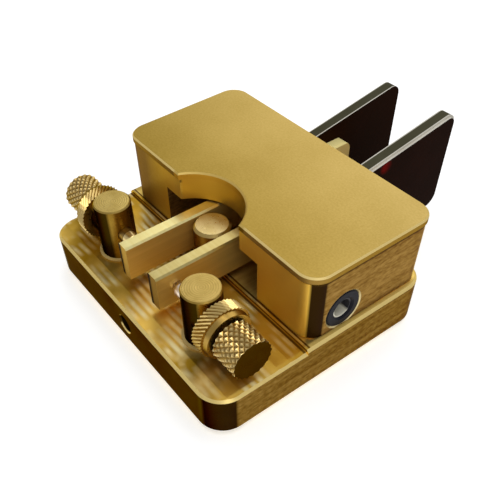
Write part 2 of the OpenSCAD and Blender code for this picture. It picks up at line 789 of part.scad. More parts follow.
// Post collars: an insulating ring and sleeve under each contact post, and a washer below
module post_collars() {
    color([0.8, 0.72, 0.5])
    for (s = [-1, 1])
        translate([s * post_x, post_y, 0]) {
            difference() {
                union() {
                    translate([0, 0, deck_z]) cylinder(d = collar_d, h = collar_h);
                    translate([0, 0, deck_z - sleeve_deep])
                        cylinder(d = sleeve_d, h = sleeve_deep + collar_h / 2);
                }
                translate([0, 0, deck_z - spigot_deep]) cylinder(d = spigot_d, h = base_h);
                translate([0, 0, floor_z]) cylinder(d = post_screw_d + 0.2, h = base_h);
            }
            translate([0, 0, floor_z + head_h + 0.4])
                difference() {
                    union() {
                        cylinder(d = washer_d, h = washer_t);
                        cylinder(d = washer_hub_d, h = washer_hub_h);
                    }
                    translate([0, 0, -1]) cylinder(d = post_screw_d + 0.2, h = washer_hub_h + 2);
                }
        }
}

// Post screws: socket head screws that hold the two posts and the centre stop
module post_screws() {
    color([0.5, 0.5, 0.5]) {
        for (s = [-1, 1])
            translate([s * post_x, post_y, floor_z + 0.1]) socket_screw(post_screw_d, base_h + post_grip);
        translate([0, stop_y, floor_z + 0.3]) socket_screw(bolt_d, base_h + stop_grip);
    }
}

// Polygon with teeth round a circle, for a knurled rim
function teeth(r, deep, n) = [
    for (i = [0 : 2 * n - 1])
        let (rr = i % 2 == 0 ? r : r - deep)
            [rr * cos(i * 180 / n), rr * sin(i * 180 / n)]
];

// Diamond knurl: where two twisted fluted bars of opposite hand meet
module diamond_knurl(d, len, n, deep) {
    turn = len * tan(knob_slant) / (d / 2) * 180 / PI;
    intersection() {
        linear_extrude(height = len, twist = turn, slices = 7) polygon(teeth(d / 2, deep, n));
        linear_extrude(height = len, twist = -turn, slices = 7) polygon(teeth(d / 2, deep, n));
    }
}

// Contact screw: threaded shank, smooth neck and diamond-knurled knob in one turned piece
module contact_screw_shape() {
    bar_x(shank_x, post_y, axis_z, screw_d, knob_x - shank_x + 0.5);
    bar_x(neck_x, post_y, axis_z, neck_d, knob_x - neck_x + 0.5);
    translate([knob_x, post_y, axis_z])
        rotate([0, 90, 0])
            diamond_knurl(knob_d, knob_len, knob_ridges, knurl_depth);
}

module contact_screw_left() {
    color([0.78, 0.64, 0.34]) on_side(-1) contact_screw_shape();
}

module contact_screw_right() {
    color([0.78, 0.64, 0.34]) contact_screw_shape();
}

// Contact tip: the silver-faced end of the contact screw
module tip_shape() {
    translate([tip_x, post_y, axis_z])
        rotate([0, 90, 0])
            rotate_extrude()
                polygon([
                    [0, 0], [tip_d / 2 - tip_round, 0],
                    [tip_d / 2 - 0.3 * tip_round, 0.3 * tip_round], [tip_d / 2, tip_round],
                    [tip_d / 2, tip_len], [0, tip_len]
                ]);
}

module contact_tip_left() {
    color([0.82, 0.7, 0.5]) on_side(-1) tip_shape();
}

module contact_tip_right() {
    color([0.82, 0.7, 0.5]) tip_shape();
}

// Lock ring: a rim with slanting ridges and a smooth, slightly smaller outer part
module ring_shape() {
    turn = ring_rim * tan(ring_slant) / (ring_d / 2) * 180 / PI;
    bore_d = screw_d + 2 * screw_play;
    translate([0, post_y, axis_z])
        rotate([0, 90, 0])
            difference() {
                union() {
                    translate([0, 0, ring_x])
                        linear_extrude(height = ring_rim, twist = turn, slices = 3)
                            polygon(teeth(ring_d / 2, knurl_depth, ring_ridges));
                    translate([0, 0, ring_x + ring_rim - 0.1])
                        cylinder(d1 = ring_d - face_less, d2 = ring_d - face_less - 0.4, h = face_len + 0.1);
                }
                translate([0, 0, ring_x - 1]) cylinder(d = bore_d, h = ring_rim + face_len + 2);
            }
}

module lock_ring_left() {
    color([0.74, 0.59, 0.3]) on_side(-1) ring_shape();
}

module lock_ring_right() {
    color([0.74, 0.59, 0.3]) ring_shape();
}

// Centre stop: a short turned post that both levers rest against
module centre_stop() {
    color([0.8, 0.68, 0.38])
    difference() {
        translate([0, stop_y, deck_z])
            rotate_extrude($fn = 64)
                polygon([
                    [0, 0], [post_d / 2, 0], [post_d / 2, stop_h - stop_chamfer],
                    [post_d / 2 - stop_chamfer, stop_h], [0, stop_h]
                ]);
        translate([0, stop_y, floor_z]) cylinder(d = bolt_d, h = base_h + stop_grip + 0.6);
    }
}

// Front grub screw: a socket set screw deep in the base plate's front hole
module front_grub_screw() {
    color([0.55, 0.5, 0.4])
    translate([0, front_y + grub_back, hole_z])
        rotate([-90, 0, 0])
            difference() {
                cylinder(d = front_hole_d - 0.02, h = grub_len);
                translate([0, 0, -1]) cylinder(d = front_hole_d / 2, h = 1 + grub_len / 5, $fn = 6);
            }
}

// Jack body: the insulating barrel behind the nut
module jack_body() {
    color([0.08, 0.08, 0.09])
    difference() {
        bar_x(barrel_x, jack_y, jack_z, barrel_d, barrel_len);
        bar_x(barrel_x + barrel_end, jack_y, jack_z, lining_d, barrel_len);
    }
}

// Jack nut: a black ring that lies in the block's side face
module jack_nut() {
    color([0.1, 0.1, 0.12])
    translate([jack_x - nut_deep, jack_y, jack_z])
        rotate([0, 90, 0])
            rotate_extrude($fn = 64)
                polygon([
                    [lining_d / 2, 0], [jack_nut_d / 2, 0], [jack_nut_d / 2, nut_deep - 0.2],
                    [jack_nut_d / 2 - 0.2, nut_deep], [lining_d / 2 + 0.4, nut_deep],
                    [lining_d / 2, nut_deep - 0.3]
                ]);
}

// Jack sleeve: the bright metal lining of the jack's opening
module jack_sleeve() {
    start = barrel_end + spring_len + 0.2;
    color([0.8, 0.8, 0.8])
    translate([barrel_x + start, jack_y, jack_z])
        rotate([0, 90, 0])
            difference() {
                cylinder(d = lining_d, h = nut_deep + barrel_len - start - 0.4);
                translate([0, 0, -1]) cylinder(d = jack_bore_d, h = nut_deep + barrel_len);
            }
}

// Jack springs: the two contacts at the bottom of the jack's barrel
module jack_springs() {
    color([0.75, 0.7, 0.5])
    for (s = [-1, 1])
        translate([barrel_x + barrel_end, jack_y + s * (jack_bore_d / 2 - 0.1), jack_z])
            translate([0, -spring_t / 2, -spring_h / 2]) cube([spring_len, spring_t, spring_h]);
}

// Solder tags: a ring with a tail under the head of each contact post's screw
module solder_tags() {
    color([0.75, 0.74, 0.7])
    for (s = [-1, 1])
        translate([s * post_x, post_y, floor_z + head_h + 0.1])
            difference() {
                union() {
                    cylinder(d = tag_d, h = tag_t);
                    translate([-tag_w / 2, 0, 0]) cube([tag_w, tag_len, tag_t]);
                }
                translate([0, 0, -1]) cylinder(d = post_screw_d + 0.2, h = 2);
            }
}

// Signal wires: two insulated wires side by side in the channels, from the tags to the jack
module signal_wires() {
    tag_y = post_y + tag_len + 0.6;
    high = jack_z - 0.5;
    color([0.1, 0.1, 0.1]) {
        wire([
            [-post_x, tag_y, wire_z], [-post_x, wire_y0 + wire_lane, wire_z],
            [wire_x - wire_lane, wire_y0 + wire_lane, wire_z],
            [wire_x - wire_lane, jack_y - wire_lane, wire_z],
            [drop_x, jack_y - wire_lane, wire_z], [drop_x, jack_y - wire_lane, high]
        ]);
        wire([
            [post_x, tag_y, wire_z], [post_x, wire_y0 - wire_lane, wire_z],
            [wire_x + wire_lane, wire_y0 - wire_lane, wire_z],
            [wire_x + wire_lane, jack_y + wire_lane, wire_z],
            [drop_x, jack_y + wire_lane, wire_z], [drop_x, jack_y + wire_lane, high]
        ]);
    }
}

// A round wire with straight runs between the given points
module wire(path) {
    for (i = [0 : len(path) - 2]) {
        step = path[i + 1] - path[i];
        flat = norm([step[0], step[1]]);
        translate(path[i])
            rotate([0, atan2(flat, step[2]), atan2(step[1], step[0])])
                cylinder(d = wire_d, h = norm(step), $fn = 24);
        if (i > 0)
            translate(path[i]) sphere(d = wire_d, $fn = 24);
    }
}

// Rubber feet: four black discs let into the underside
module rubber_feet() {
    color([0.06, 0.06, 0.06])
    for (s = [-1, 1])
        for (y = foot_ys)
            translate([s * foot_x, y, 0])
                rotate_extrude()
                    polygon([
                        [0, 0], [foot_d / 2 - 0.4, 0], [foot_d / 2, 0.4],
                        [foot_d / 2, foot_h + foot_pocket], [0, foot_h + foot_pocket]
                    ]);
}

base_plate();
pivot_block();
cover_plate();
cover_screws();
block_screws();
lever_left();
lever_right();
pivot_pin_left();
pivot_pin_right();
pivot_bearings();
finger_paddle_left();
finger_paddle_right();
paddle_screws_left();
paddle_screws_right();
lever_contact_left();
lever_contact_right();
lever_magnet_left();
lever_magnet_right();
contact_post_left();
contact_post_right();
post_collars();
post_screws();
contact_screw_left();
contact_screw_right();
contact_tip_left();
contact_tip_right();
lock_ring_left();
lock_ring_right();
centre_stop();
front_grub_screw();
jack_body();
jack_nut();
jack_sleeve();
jack_springs();
solder_tags();
signal_wires();
rubber_feet();
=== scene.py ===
"""Paddle telegraph key in brass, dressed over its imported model. Metres, +Z up."""

import math

import bmesh
import bpy
from mathutils import Euler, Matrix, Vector


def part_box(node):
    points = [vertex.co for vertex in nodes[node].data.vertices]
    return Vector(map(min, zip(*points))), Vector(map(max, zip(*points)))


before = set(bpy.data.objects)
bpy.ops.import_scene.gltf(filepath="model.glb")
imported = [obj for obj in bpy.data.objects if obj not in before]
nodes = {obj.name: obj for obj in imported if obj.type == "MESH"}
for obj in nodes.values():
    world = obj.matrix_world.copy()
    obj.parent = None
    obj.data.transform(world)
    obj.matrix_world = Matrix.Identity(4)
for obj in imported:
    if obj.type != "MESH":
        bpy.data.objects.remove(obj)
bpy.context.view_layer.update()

# Camera: a small desk-top view from the front right corner, looking down on the key.
# It is turned a little about its own axis, as the photo is.
MM = 0.001

camera = bpy.data.objects.new("camera", bpy.data.cameras.new("camera"))
bpy.context.scene.collection.objects.link(camera)
camera.location = Vector((77.05, -68.32, 93.85)) * MM
camera.rotation_euler = Euler([math.radians(angle) for angle in (40.35, 2.26, 53.78)])
camera.data.sensor_width = 36.0
camera.data.lens = 45.2
camera.data.shift_x = 0.0636
camera.data.shift_y = 0.1803
camera.data.clip_start = 0.01
bpy.context.scene.camera = camera
bpy.context.scene.view_settings.view_transform = "Standard"


# Floor and light: a pale floor that keeps the key's shadow and looks white to the camera and
# in the brass. Three soft panels and a plain world light it.
class Wire:
    """One socket of a shader's node tree. Sums and products of wires add their Math nodes."""

    def __init__(self, tree, socket=None):
        self.tree = tree
        self.socket = socket

    def add(self, kind, settings=None, inputs=None, out=0):
        """Adds a node, sets it, fills its sockets with values or wires and returns one output."""
        node = self.tree.nodes.new(kind)
        for name, value in (settings or {}).items():
            setattr(node, name, value)
        for name, value in (inputs or {}).items():
            if isinstance(value, Wire):
                self.tree.links.new(value.socket, node.inputs[name])
            else:
                node.inputs[name].default_value = value
        return Wire(self.tree, node.outputs[out] if len(node.outputs) else None)

    def math(self, operation, *others):
        """A Math node on this wire and on further wires or values."""
        return self.add("ShaderNodeMath", {"operation": operation}, dict(enumerate((self,) + others)))

    def __add__(self, other):
        return self.math("ADD", other)

    __radd__ = __add__

    def __mul__(self, other):
        return self.math("MULTIPLY", other)

    __rmul__ = __mul__

    def __sub__(self, other):
        return self.math("SUBTRACT", other)

    def __rsub__(self, other):
        return (self * -1) + other

    def __truediv__(self, other):
        return self.math("DIVIDE", other)


def new_material(name):
    """A material with an empty tree, and a wire to build it with."""
    material = bpy.data.materials.new(name)
    material.use_nodes = True
    material.node_tree.nodes.clear()
    return material, Wire(material.node_tree)


FLOOR_REACH = 3.0
WORLD_LIGHT = 0.5

floor_mesh = bpy.data.meshes.new("floor")
floor = bpy.data.objects.new("floor", floor_mesh)
bpy.context.scene.collection.objects.link(floor)
shape = bmesh.new()
bmesh.ops.create_grid(shape, x_segments=1, y_segments=1, size=FLOOR_REACH)
shape.to_mesh(floor_mesh)
shape.free()
material, wire = new_material("floor")
rays = wire.add("ShaderNodeLightPath", {}, {}, "Is Camera Ray")
rays = rays + wire.add("ShaderNodeLightPath", {}, {}, "Is Glossy Ray")
rays = rays + wire.add("ShaderNodeLightPath", {}, {}, "Is Transmission Ray")
pale = wire.add("ShaderNodeBsdfDiffuse", {}, {"Color": (0.75, 0.75, 0.75, 1)})
white = wire.add("ShaderNodeEmission", {}, {"Color": (1, 1, 1, 1), "Strength": 0.5})
both = wire.add("ShaderNodeAddShader", {}, {0: pale, 1: white})
seen = wire.add("ShaderNodeMixShader", {}, {0: rays.math("MINIMUM", 1.0), 1: pale, 2: both})
wire.add("ShaderNodeOutputMaterial", {}, {"Surface": seen})
floor_mesh.materials.append(material)

world = bpy.data.worlds.new("world")
bpy.context.scene.world = world
world.use_nodes = True
world.node_tree.nodes.clear()
sky = Wire(world.node_tree)
seen = sky.add("ShaderNodeLightPath", {}, {}, "Is Camera Ray")
strength = WORLD_LIGHT + seen * (1 - WORLD_LIGHT)
light = sky.add("ShaderNodeBackground", {}, {"Color": (1, 1, 1, 1), "Strength": strength})
sky.add("ShaderNodeOutputWorld", {}, {"Surface": light})

for name, spot, size, power in (
    ("key_panel", (0.05, 0.02, 0.45), 0.25, 0.6),
    ("side_panel", (0.40, -0.15, 0.25), 0.20, 0.15),
    ("rear_panel", (-0.26, 0.34, 0.34), 0.42, 0.62),
):
    panel = bpy.data.lights.new(name, "AREA")
    panel.shape = "SQUARE"
    panel.size = size
    panel.energy = power
    lamp = bpy.data.objects.new(name, panel)
    bpy.context.scene.collection.objects.link(lamp)
    lamp.location = spot
    lamp.rotation_euler = (-Vector(spot)).to_track_quat("-Z", "Y").to_euler()


def colour(red, green, blue):
    """A colour for a socket, from its linear parts."""
    return (red, green, blue, 1.0)


def piece_material(name):
    """A material for a piece, a wire to build it with and the place on the piece, in metres."""
    material, wire = new_material(name)
    return material, wire, wire.add("ShaderNodeTexCoord", {}, {}, "Object")


def mix(wire, factor, first, second):
    """A colour between two colours."""
    return wire.add("ShaderNodeMix", {"data_type": "RGBA"}, {0: factor, 6: first, 7: second}, 2)


def cloud(wire, place, scale, stretch=(1, 1, 1), detail=3.0):
    """Cloudy noise between 0 and 1, drawn out along an axis that has a small factor."""
    drawn = wire.add("ShaderNodeMapping", {}, {"Vector": place, "Scale": stretch})
    return wire.add("ShaderNodeTexNoise", {}, {"Vector": drawn, "Scale": scale, "Detail": detail})


def relief(wire, height, depth):
    """A normal roughened by a height, with its depth in millimetres."""
    return wire.add("ShaderNodeBump", {}, {"Strength": 1.0, "Distance": depth * MM, "Height": height})


def surface(wire, inputs):
    """Ends a tree in one Principled BSDF."""
    shader = wire.add("ShaderNodeBsdfPrincipled", {}, inputs)
    wire.add("ShaderNodeOutputMaterial", {}, {"Surface": shader})


def dress(names, material):
    """Gives pieces their material."""
    for name in names:
        nodes[name].data.materials.clear()
        nodes[name].data.materials.append(material)


material, wire, place = piece_material("foot_rubber")
dust = cloud(wire, place, 700.0)
surface(wire, {
    "Base Color": mix(wire, dust, colour(0.012, 0.012, 0.012), colour(0.03, 0.03, 0.03)),
    "Roughness": dust * 0.2 + 0.6,
    "Normal": relief(wire, cloud(wire, place, 3000.0), 0.02),
})
dress(["rubber_feet"], material)


# Base plate: a thick brass slab. The front part of its top shows the milling cutter's short strokes,
# painted bright as painted highlights; its edges are brushed lengthwise and painted darker than the top
# as painted shade, and its front face and round front corners are painted dark as painted shade.
EDGE_TINT = colour(0.30, 0.24, 0.12)
BLOCK_SIDE = 28.3 * MM
BLOCK_FRONT = -17.6 * MM
SEAT_FRONT = -18.4 * MM
STROKE_LENGTH = 11.0 * MM
STROKE_PITCH = 1.5 * MM
SHEEN_SPOT = Vector((20.0, -36.5, 9.8)) * MM
HOLE_EDGE = 1.85 * MM


def brass(wire, tone, rough, height, depth, metal=1.0):
    """Ends a tree in brass of the given tone."""
    surface(wire, {
        "Base Color": tone, "Metallic": metal, "Roughness": rough, "Specular Tint": EDGE_TINT,
        "Specular IOR Level": 0.2, "Normal": relief(wire, height, depth),
    })


def slope(wire, value, low, high):
    """0 at and before low, 1 at and past high, and a straight slope between them."""
    return wire.add("ShaderNodeMapRange", {}, {0: value, 1: low, 2: high})


def apart(wire, vector):
    """The X, Y and Z of a vector as three wires."""
    return [wire.add("ShaderNodeSeparateXYZ", {}, {0: vector}, axis) for axis in "XYZ"]


def facing(wire):
    """How much the surface faces along X, Y and Z, from -1 to 1."""
    return apart(wire, wire.add("ShaderNodeNewGeometry", {}, {}, "Normal"))


def middle(name):
    """The middle of a piece's box."""
    low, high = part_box(name)
    return (low + high) / 2


def distance(wire, place, point, counted=(1.0, 1.0, 1.0)):
    """How far the place is from a point, along the axes that are counted."""
    moved = wire.add("ShaderNodeVectorMath", {"operation": "SUBTRACT"}, {0: place, 1: point})
    kept = wire.add("ShaderNodeVectorMath", {"operation": "MULTIPLY"}, {0: moved, 1: counted})
    return wire.add("ShaderNodeVectorMath", {"operation": "LENGTH"}, {0: kept}, "Value")


def mill_strokes(wire, place):
    """Short strokes along X, side by side, as a face mill leaves them; the plate paints them bright, as
    painted highlights.
    """
    x, y, _ = apart(wire, place)
    wander = cloud(wire, place, 90.0, detail=1.0)
    row = y / STROKE_PITCH + wander * 0.7
    number = row.math("FLOOR")
    shift = wire.add("ShaderNodeTexWhiteNoise", {"noise_dimensions": "1D"}, {"W": number})
    along = x / STROKE_LENGTH + shift * 0.3 + number * 0.07
    stroke = (along.math("FRACT") * math.pi).math("SINE")
    width = (row.math("FRACT") * math.pi).math("SINE")
    return slope(wire, stroke, 0.35, 0.8) * slope(wire, width, 0.3, 1.0)


def shade_line(wire, y, line, faded, full):
    """A line along X: full near its place on Y, and faded away at a distance."""
    return slope(wire, (y - line).math("ABSOLUTE"), faded, full)


def speckled(wire, place, streaks):
    """Short brushed marks along Y, as on the sides of the base plate and the block."""
    marks = cloud(wire, place, 2200.0, (1, 0.4, 1), 2.0)
    return slope(wire, streaks * 0.5 + marks * 0.5, 0.36, 0.64)


def front_corner(wire, across, y, low, high):
    """1 where a round front corner turns to the side, and 0 on the flat faces beside it."""
    turned = across.math("ABSOLUTE")
    ahead = slope(wire, y, 0.0, -5 * MM)
    return slope(wire, turned, low, high) * slope(wire, turned, 0.998, 0.985) * ahead


material, wire, place = piece_material("plate_brass")
x, y, _ = apart(wire, place)
across, back, up = facing(wire)
streaks = cloud(wire, place, 1300.0, (1, 0.03, 1), 4.0)
patches = cloud(wire, place, 170.0)
flat = slope(wire, up, 0.8, 0.95)
chamfer = slope(wire, up.math("ABSOLUTE"), 0.3, 0.5) * (1 - flat)
faces_front = slope(wire, back * -1, 0.5, 0.9)

strokes = mill_strokes(wire, place) * slope(wire, cloud(wire, place, 110.0), 0.40, 0.55)
lighter = slope(wire, cloud(wire, place, 80.0), 0.40, 0.60)
field = mix(wire, lighter, colour(0.44, 0.25, 0.018), colour(0.84, 0.55, 0.11))
# Painted highlight: a bright sheen is painted on the top near its front right.
painted_sheen = slope(wire, distance(wire, place, SHEEN_SPOT), 7 * MM, 2 * MM) * slope(wire, patches, 0.35, 0.6)
field = mix(wire, painted_sheen, field, colour(1.0, 0.84, 0.40))
# Painted shade: the top is painted darker in front of the block.
near_block_shade = slope(wire, y, -26 * MM, -21 * MM)
field = mix(wire, near_block_shade * 0.6, field, colour(0.56, 0.30, 0.018))
# The real milling marks are painted bright here, as painted highlights.
milled = mix(wire, strokes * 0.9, field, colour(1.0, 0.88, 0.48))
ledges = mix(wire, streaks, colour(0.50, 0.31, 0.05), colour(0.90, 0.68, 0.22))
ahead = slope(wire, y, BLOCK_FRONT + 0.2 * MM, BLOCK_FRONT - 0.2 * MM)
top = mix(wire, ahead, ledges, milled)
# Painted shadows: dark lines are painted along the foot of the seat step and of the block.
seat_shadow_line = shade_line(wire, y, SEAT_FRONT - 0.35 * MM, 0.30 * MM, 0.18 * MM)
block_shadow_line = shade_line(wire, y, BLOCK_FRONT - 0.15 * MM, 0.25 * MM, 0.12 * MM)
top = mix(wire, seat_shadow_line + block_shadow_line, top, colour(0.16, 0.08, 0.008))

# The sides are brushed, and are painted darker than the top as painted shade.
sides = mix(wire, speckled(wire, place, streaks), colour(0.17, 0.095, 0.022), colour(0.36, 0.225, 0.075))
# Painted shade: the front face is painted dark.
plate_front_shade = mix(wire, patches, colour(0.096, 0.076, 0.0), colour(0.177, 0.145, 0.0))
walls = mix(wire, faces_front, sides, plate_front_shade)
# Painted shade: the round front corners are painted nearly black.
dark = mix(wire, patches, colour(0.026, 0.013, 0.002), colour(0.05, 0.028, 0.003))
walls = mix(wire, front_corner(wire, across, y, 0.15, 0.3), walls, dark)
# Painted highlight: the front-facing walls of the steps on the top are painted bright.
seat_step = slope(wire, y, -30 * MM, -29 * MM) * faces_front
walls = mix(wire, seat_step, walls, colour(0.75, 0.50, 0.14))

tone = mix(wire, flat, walls, top)
# Painted highlight: the chamfers are painted bright.
tone = mix(wire, chamfer, tone, colour(1.0, 0.76, 0.28))
# Painted shade: the inside of the grub screw's hole is painted dark.
hole = distance(wire, place, middle("front_grub_screw"), (1.0, 0.0, 1.0))
hole_shade = slope(wire, hole, HOLE_EDGE + 0.05 * MM, HOLE_EDGE) * slope(wire, y, -18 * MM, -20 * MM)
tone = mix(wire, hole_shade, tone, colour(0.05, 0.028, 0.006))
satin = slope(wire, x.math("ABSOLUTE"), BLOCK_SIDE - 0.2 * MM, BLOCK_SIDE + 0.1 * MM) * flat
rough = streaks * 0.2 + 0.28 - faces_front * 0.16
metal = 0.95 - satin * 0.75 + faces_front * 0.05
brass(wire, tone, rough, streaks * 0.4 + strokes, 0.02, metal)
dress(["base_plate"], material)


# Screws, pins, bearings and lever magnets: small turned steel pieces, left bare or plated.
# They sit in their holes, and the photo shows only the hole of the grub screw in the front
# of the base plate.
material, wire, place = piece_material("steel")
haze = cloud(wire, place, 900.0)
surface(wire, {
    "Base Color": mix(wire, haze, colour(0.33, 0.33, 0.34), colour(0.55, 0.55, 0.57)),
    "Metallic": 1.0, "Roughness": haze * 0.2 + 0.25,
    "Normal": relief(wire, cloud(wire, place, 4000.0), 0.004),
})
dress(["front_grub_screw", "post_screws", "block_screws", "cover_screws", "pivot_pin_left", "pivot_pin_right",
       "pivot_bearings", "paddle_screws_left", "paddle_screws_right", "lever_magnet_left",
       "lever_magnet_right"], material)


# Post collars: thin rings of pale insulating sheet under the contact posts.
# The posts' screws clamp them to the base plate.
material, wire, place = piece_material("collar_sheet")
haze = cloud(wire, place, 900.0)
surface(wire, {
    "Base Color": mix(wire, haze, colour(0.50, 0.34, 0.10), colour(0.66, 0.48, 0.18)),
    "Roughness": haze * 0.2 + 0.35,
    "Normal": relief(wire, cloud(wire, place, 2000.0), 0.01),
})
dress(["post_collars"], material)


# Contact posts and centre stop: turned from brass bar and fixed upright on the base plate.
# Their ends show fine rings round their axis, and their sides are polished. The sides of the
# posts that face the front are painted dark as painted shade, and the two posts are given
# different tones as painted light.
POST_X = 14.7 * MM
RING_PITCH = 0.3 * MM
POST_RING_PITCH = 0.42 * MM


def turned_brass(name, centre, axis, side_tones, end_tones, pitch=RING_PITCH, reach=None, front_shade=None):
    """Brass turned about an axis through a centre, with rings on its ends.

    Where a reach is given, the sides are painted bright at that radius and darker below it, as
    painted highlight and shade. Where a front shade is given, the sides that face the front are
    painted with it, as painted shade."""
    material, wire, place = piece_material(name)
    normal = facing(wire)
    on_end = slope(wire, normal["XYZ".index(axis)].math("ABSOLUTE"), 0.6, 0.9)
    radius = distance(wire, place, centre, [0.0 if letter == axis else 1.0 for letter in "XYZ"])
    rings = (radius * (2 * math.pi / pitch)).math("SINE") * 0.5 + 0.5
    haze = cloud(wire, place, 500.0)
    grain = cloud(wire, place, 1500.0)
    bright = haze
    if reach:
        bright = slope(wire, radius, 0.94 * reach, reach) * 0.75 + haze * 0.25
    sides = mix(wire, bright, *side_tones)
    if front_shade:
        sides = mix(wire, slope(wire, normal[1] * -1, 0.64, 0.76), sides, front_shade)
    ends = mix(wire, rings * 0.25 + haze * 0.75, *end_tones)
    brass(wire, mix(wire, on_end, sides, ends), grain * 0.15 + 0.22, rings * on_end + grain * 0.3, 0.008)
    return material


# Painted light and shade: the left and right posts are given different tones.
for side, post_x, side_tones, end_tones in (
    ("left", -POST_X, (colour(0.20, 0.11, 0.014), colour(0.40, 0.24, 0.035)),
     (colour(0.50, 0.34, 0.08), colour(0.90, 0.68, 0.24))),
    ("right", POST_X, (colour(0.26, 0.15, 0.02), colour(0.62, 0.38, 0.06)),
     (colour(0.30, 0.20, 0.045), colour(0.56, 0.40, 0.13))),
):
    centre = middle("contact_post_" + side)
    centre.x = post_x
    dress(["contact_post_" + side], turned_brass(
        "post_brass_" + side, centre, "Z", side_tones, end_tones,
        POST_RING_PITCH, front_shade=colour(0.036, 0.021, 0.003)))
dress(["centre_stop"], turned_brass(
    "stop_brass", middle("centre_stop"), "Z",
    (colour(0.30, 0.17, 0.03), colour(0.50, 0.33, 0.08)),
    (colour(0.55, 0.40, 0.12), colour(0.80, 0.66, 0.34))))


# Levers: brass bars on edge, one for each finger, which swing on steel pins in the block.
# They are brushed along their sides, and their tops and chamfers are scraped bright. The left
# top is painted lighter than the right, the finger ends bright and the front ends dark, as
# painted light and shade.
LEVER_INNER = 3.69 * MM
LEVER_OUTER = 6.39 * MM

material, wire, place = piece_material("lever_brass")
x, y, _ = apart(wire, place)
_, back, up = facing(wire)
streaks = cloud(wire, place, 1500.0, (1, 0.03, 1), 4.0)
scrapes = cloud(wire, place, 1500.0, (0.03, 1, 1))
right = slope(wire, x, -1 * MM, 1 * MM)
painted_light_end = slope(wire, y, 9 * MM, 10 * MM)
on_top = slope(wire, up, 0.3, 0.6)

# Painted light: the left lever's top is painted lighter than the right's.
pale = mix(wire, right, colour(1.0, 0.92, 0.46), colour(0.66, 0.56, 0.25))
deep = mix(wire, right, colour(0.90, 0.72, 0.26), colour(0.50, 0.38, 0.12))
top = mix(wire, scrapes, deep, pale)
# Painted light: the finger ends between the paddles are painted bright and made less metallic.
top = mix(wire, painted_light_end, top, colour(1.0, 0.86, 0.36))
walls = mix(wire, streaks, colour(0.62, 0.38, 0.08), colour(0.85, 0.56, 0.15))
# Painted shade: the levers' front end faces are painted dark along their left part and gold on the rest, the
# left lever's gold lighter.
inset = x + LEVER_OUTER - right * (LEVER_INNER + LEVER_OUTER)
gold = mix(wire, right, colour(0.66, 0.42, 0.09), colour(0.36, 0.21, 0.04))
end = mix(wire, slope(wire, inset, 0.5 * MM, 1.1 * MM), colour(0.03, 0.016, 0.003), gold)
walls = mix(wire, slope(wire, back * -1, 0.6, 0.9), walls, end)
walls = mix(wire, painted_light_end, walls, colour(0.95, 0.70, 0.24))
rough = streaks * 0.15 + (0.40 - on_top * 0.15)
metal = (on_top * 0.35 + 0.65) * (1 - painted_light_end * 0.8)
brass(wire, mix(wire, on_top, walls, top), rough, streaks + scrapes, 0.006, metal)
dress(["lever_left", "lever_right"], material)


# Lever contacts and contact tips: silver rivets in the levers, and the rounded ends of the
# contact screws, which are silvered brass. The jack's springs and tags are silvered too.
material, wire, place = piece_material("silver")
haze = cloud(wire, place, 900.0)
surface(wire, {
    "Base Color": mix(wire, haze, colour(0.80, 0.70, 0.60), colour(0.96, 0.93, 0.90)),
    "Metallic": 1.0, "Roughness": haze * 0.2 + 0.15,
    "Normal": relief(wire, cloud(wire, place, 2500.0), 0.004),
})
dress(["lever_contact_left", "lever_contact_right", "jack_springs", "solder_tags"], material)

# Painted highlight: the right tip is painted paler than the left.
for side, side_tones in (
    ("left", (colour(0.72, 0.50, 0.18), colour(0.95, 0.78, 0.42))),
    ("right", (colour(0.85, 0.68, 0.50), colour(1.0, 0.92, 0.84))),
):
    dress(["contact_tip_" + side], turned_brass(
        "tip_brass_" + side, middle("contact_tip_" + side), "X", side_tones,
        (colour(0.78, 0.62, 0.40), colour(0.90, 0.80, 0.60))))


# Finger paddles: sheets of very dark red acrylic, sawn, chamfered and polished.
# Each is held by two screws to the outer side of its lever.
PADDLE_INNER = 6.39 * MM
PADDLE_OUTER = 9.29 * MM
SAWN_MIDDLE = 7.62 * MM
RED_SPOT = Vector((9.29, 18.8, 20.3)) * MM

material, wire, place = piece_material("paddle_sheet")
x = apart(wire, place)[0]
across = facing(wire)[0]
haze = cloud(wire, place, 150.0)
right = slope(wire, x, -1 * MM, 1 * MM)
sheet = mix(wire, right, colour(0.019, 0.0065, 0.002), colour(0.0125, 0.0035, 0.001))
sheet = mix(wire, slope(wire, haze, 0.35, 0.65) * 0.4, sheet, colour(0.020, 0.005, 0.002))
# Painted light: a red glow is painted where the lever behind shows through the sheet.
painted_glow = slope(wire, distance(wire, place, RED_SPOT), 1.7 * MM, 0.7 * MM) * slope(wire, haze, 0.3, 0.6)
sheet = mix(wire, painted_glow, sheet, colour(0.16, 0.004, 0.002))
sawn = mix(wire, haze, colour(0.045, 0.042, 0.022), colour(0.085, 0.08, 0.05))
# Painted highlight: the chamfers of the dark sheet are painted pale.
pale = mix(wire, haze, colour(0.55, 0.52, 0.45), colour(0.75, 0.72, 0.64))
depth = x.math("ABSOLUTE")
chamfer = slope(wire, (depth - SAWN_MIDDLE).math("ABSOLUTE"), 0.95 * MM, 1.05 * MM)
faces = slope(wire, depth, PADDLE_OUTER - 0.29 * MM, PADDLE_OUTER - 0.09 * MM)
faces = faces + slope(wire, depth, PADDLE_INNER + 0.21 * MM, PADDLE_INNER + 0.01 * MM)
polished = slope(wire, across.math("ABSOLUTE"), 0.35, 0.9) * faces.math("MINIMUM", 1.0)
surface(wire, {
    "Base Color": mix(wire, polished, mix(wire, chamfer, sawn, pale), sheet),
    "Roughness": haze * 0.1 + 0.22, "Specular IOR Level": 0.005,
    "Normal": relief(wire, cloud(wire, place, 1500.0), 0.002),
})
dress(["finger_paddle_left", "finger_paddle_right"], material)


